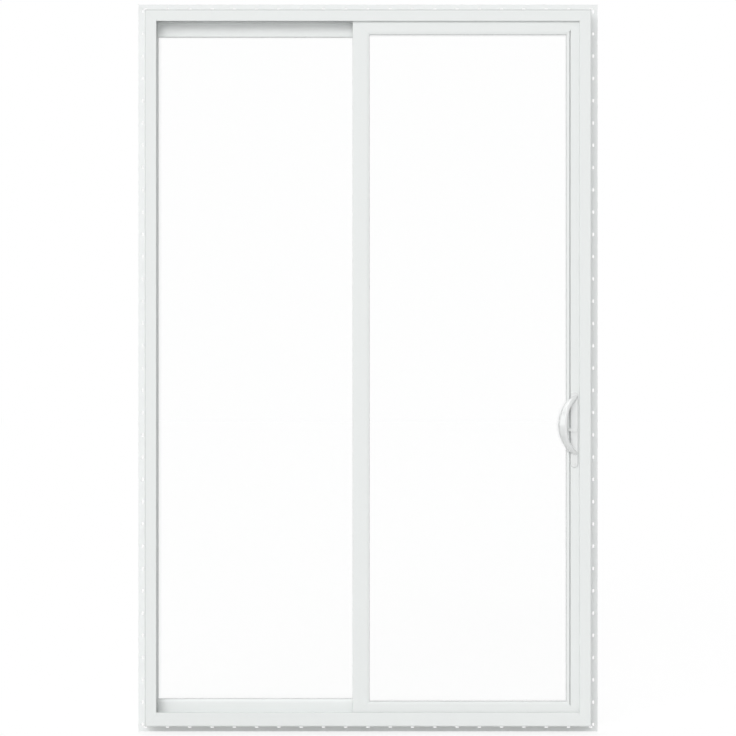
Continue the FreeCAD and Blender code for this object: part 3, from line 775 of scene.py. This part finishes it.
class PATIO_OT_pile_strips(bpy.types.Operator):
    """Add the pile strips on the legs of the frame either side of the sliding panel"""

    bl_idname = "patio.pile_strips"
    bl_label = "Pile strips"

    def execute(self, context):
        look = context.scene.patio_door.seal
        material = pile_finish("grey_pile", look)
        panel_low, panel_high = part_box("sliding_lock_stile")
        left, right, bottom, top = outline_of(*FRAME_MEMBERS)
        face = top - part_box("frame_head")[0].z
        panel_gap = 0.005
        leg_edge = 0.002
        rounding = look.pile_width * 0.3
        far = face - leg_edge
        near = far - look.pile_width
        spans = {
            "head": ((left + face, top - far), (right - face, top - near)),
            "sill": ((left + face, bottom + near), (right - face, bottom + far)),
            "jamb": ((right - far, bottom + face), (right - near, top - face)),
        }
        room_leg = panel_low.y - panel_gap
        outer_leg = panel_high.y + panel_gap
        for place, (low, high) in spans.items():
            shape = bmesh.new()
            for root, crown in ((room_leg, room_leg + look.pile_depth),
                                (outer_leg, outer_leg - look.pile_depth)):
                front, back = sorted((root, crown))
                bar(shape, (low[0], front, low[1]), (high[0], back, high[1]), crown, rounding)
            add_piece(f"pile_strip_{place}", shape, material, "frame", "fin_vinyl")
        return {"FINISHED"}


def lip_ring(shape, opening, width, root, crown):
    """Add a ring along the inside of an opening, from the glass up to a rounded crown."""
    left, right, bottom, top = opening
    rounding = min(width, abs(crown - root)) * 0.7
    verts = bmesh.ops.create_grid(shape, x_segments=1, y_segments=1, size=0.5)["verts"]
    bmesh.ops.scale(shape, verts=verts, vec=(right - left, top - bottom, 1.0))
    bmesh.ops.rotate(shape, verts=verts, matrix=Matrix.Rotation(QUARTER_TURN, 3, "X"))
    bmesh.ops.translate(shape, verts=verts, vec=((left + right) / 2, root, (bottom + top) / 2))
    pane = verts[0].link_faces[0]
    band = bmesh.ops.inset_region(shape, faces=[pane], thickness=width, use_boundary=True,
                                  use_even_offset=True)["faces"]
    bmesh.ops.delete(shape, geom=[pane], context="FACES_ONLY")
    raised = bmesh.ops.extrude_face_region(shape, geom=band)["geom"]
    crest = [item for item in raised if isinstance(item, bmesh.types.BMVert)]
    bmesh.ops.translate(shape, verts=crest, vec=(0, crown - root, 0))
    clear = width / 2
    inner = [edge for edge in shape.edges
             if all(abs(vert.co.y - crown) < TOUCHING and left + clear < vert.co.x < right - clear
                    and bottom + clear < vert.co.z < top - clear for vert in edge.verts)]
    bmesh.ops.bevel(shape, geom=inner, offset=rounding, segments=3, profile=0.5, affect="EDGES",
                    material=-1)


def lip_finish(name, look):
    """Soft vinyl with a dull skin."""
    skin = Layer(cells=(300.0, 300.0, 300.0), detail=2.0, shade=0.08, roughness=0.1, height=1.0)
    return layered_finish(name, look.lip_colour, (skin,), roughness=0.55, bump=0.00006)


class PATIO_OT_glazing_lips(bpy.types.Operator):
    """Add the soft lips between the glass and the beads, on both sides of each panel"""

    bl_idname = "patio.glazing_lips"
    bl_label = "Glazing lips"

    def execute(self, context):
        look = context.scene.patio_door.seal
        material = lip_finish("soft_lip", look)
        for panel, body, left_edge, right_edge in (
                ("sliding", "sliding_panel", "sliding_bead_meeting", "sliding_bead_lock"),
                ("fixed", "frame", "fixed_jamb_stile", "fixed_bead_meeting")):
            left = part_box(left_edge)[1].x
            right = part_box(right_edge)[0].x
            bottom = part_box(f"{panel}_bead_bottom")[1].z
            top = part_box(f"{panel}_bead_top")[0].z
            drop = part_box(f"{panel}_top_rail")[0].z - top
            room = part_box(f"{panel}_pane_inner")[0].y
            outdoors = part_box(f"{panel}_pane_outer")[1].y
            shape = bmesh.new()
            lip_ring(shape, (left, right, bottom, top), look.lip_width, room, room - look.lip_depth)
            lip_ring(shape, (left - drop, right + drop, bottom - drop, top + drop), look.lip_width,
                     outdoors, outdoors + look.lip_depth)
            bmesh.ops.recalc_face_normals(shape, faces=shape.faces)
            add_piece(f"{panel}_glazing_lips", shape, material, body, "fin_vinyl")
        return {"FINISHED"}


def seen_directly(finish):
    """Return 1 for what the camera, a reflection or a pane shows, and 0 for plain lighting."""
    camera, glossy, through = finish.node(
        "ShaderNodeLightPath", output=("Is Camera Ray", "Is Glossy Ray", "Is Transmission Ray"))
    return camera.higher_of(glossy).higher_of(through)


def add_floor(look):
    """Add a pale floor that is seen as plain white, apart from part of the door's shadow."""
    half_size = 40.0
    clearance = 0.0005
    speckle = 0.02
    material, finish = new_finish("pale_floor")
    speck = finish.grain(cells=(30.0, 30.0, 30.0), detail=3.0)
    matte = finish.node("ShaderNodeBsdfDiffuse", None,
                        {"Color": finish.shaded(look.floor_colour, 1.0 + speck * speckle)})
    lit = look.ambient + (look.key + look.back) * math.sin(look.key_above) / math.pi
    share = look.floor_white
    glow = (1.0 - (1.0 - share) * lit * look.floor_colour[0]) / share
    white = finish.node("ShaderNodeEmission", None, {"Color": WHITE, "Strength": glow})
    finish.surface(finish.blend(seen_directly(finish) * share, matte, white))
    shape = bmesh.new()
    bmesh.ops.create_grid(shape, x_segments=1, y_segments=1, size=half_size)
    bmesh.ops.translate(shape, verts=shape.verts, vec=(0, 0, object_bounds()[0].z - clearance))
    add_object("floor", shape, material)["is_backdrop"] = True


def add_surroundings(scene, look):
    """Light the door evenly from all round, and show plain white behind it."""
    world = bpy.data.worlds.new("studio")
    world.use_nodes = True
    scene.world = world
    finish = Finish(world.node_tree)
    around = finish.node("ShaderNodeBackground", None, {"Color": WHITE, "Strength": look.ambient})
    white = finish.node("ShaderNodeBackground", None, {"Color": WHITE, "Strength": 1.0})
    finish.node("ShaderNodeOutputWorld", None,
                {"Surface": finish.blend(seen_directly(finish), around, white)})


def add_lamp(scene, name, strength, aside, above, softness, in_gloss=False):
    """Add a distant soft lamp that either lights surfaces or only shows in their gloss."""
    lamp = bpy.data.lights.new(name, "SUN")
    lamp.energy = strength
    lamp.angle = softness
    light = bpy.data.objects.new(name, lamp)
    light.rotation_euler = (QUARTER_TURN - above, 0.0, -aside)
    light.visible_glossy = in_gloss
    light.visible_diffuse = not in_gloss
    scene.collection.objects.link(light)


def add_camera(scene, look):
    """Add a camera that faces the door squarely from the room."""
    camera = bpy.data.objects.new("camera", bpy.data.cameras.new("camera"))
    camera.data.lens = look.lens
    camera.data.sensor_width = look.sensor_width
    camera.location = (0.0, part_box("frame_head")[0].y - look.camera_distance, look.camera_height)
    camera.rotation_euler = (QUARTER_TURN, 0.0, 0.0)
    scene.collection.objects.link(camera)
    scene.camera = camera


class PATIO_OT_stage(bpy.types.Operator):
    """Add the floor, the light and the camera"""

    bl_idname = "patio.stage"
    bl_label = "Studio"

    def execute(self, context):
        scene = context.scene
        look = scene.patio_door.stage
        add_floor(look)
        add_surroundings(scene, look)
        add_lamp(scene, "key", look.key, look.key_aside, look.key_above, look.key_softness)
        add_lamp(scene, "back", look.back, math.pi, look.key_above, look.key_softness)
        add_lamp(scene, "glint", look.glint, look.glint_aside, look.glint_above,
                 look.glint_softness, in_gloss=True)
        add_camera(scene, look)
        scene.view_settings.view_transform = "Standard"
        return {"FINISHED"}


OPERATORS = (
    PATIO_OT_vinyl,
    PATIO_OT_glass,
    PATIO_OT_metal,
    PATIO_OT_handles,
    PATIO_OT_screws,
    PATIO_OT_pile_strips,
    PATIO_OT_glazing_lips,
    PATIO_OT_stage,
)


class PATIO_PT_door(bpy.types.Panel):
    """The door's settings and the steps that build it"""

    bl_label = "Sliding patio door"
    bl_idname = "PATIO_PT_door"
    bl_space_type = "VIEW_3D"
    bl_region_type = "UI"
    bl_category = "Patio door"

    def draw(self, context):
        door = context.scene.patio_door
        for group in ("vinyl", "glass", "metal", "handle", "seal", "stage"):
            look = getattr(door, group)
            box = self.layout.box()
            box.label(text=group.capitalize())
            for name in look.__annotations__:
                box.prop(look, name)
        for operator in OPERATORS:
            self.layout.operator(operator.bl_idname)


CLASSES = (VinylLook, GlassLook, MetalLook, HandleLook, SealLook, StageLook, DoorLook, *OPERATORS,
           PATIO_PT_door)


def register():
    for item in CLASSES:
        bpy.utils.register_class(item)
    bpy.types.Scene.patio_door = PointerProperty(type=DoorLook)


def unregister():
    del bpy.types.Scene.patio_door
    for item in reversed(CLASSES):
        bpy.utils.unregister_class(item)


def main():
    register()
    bpy.ops.patio.vinyl()
    bpy.ops.patio.glass()
    bpy.ops.patio.metal()
    bpy.ops.patio.handles()
    bpy.ops.patio.screws()
    bpy.ops.patio.pile_strips()
    bpy.ops.patio.glazing_lips()
    bpy.ops.patio.stage()


if __name__ == "__main__":
    main()
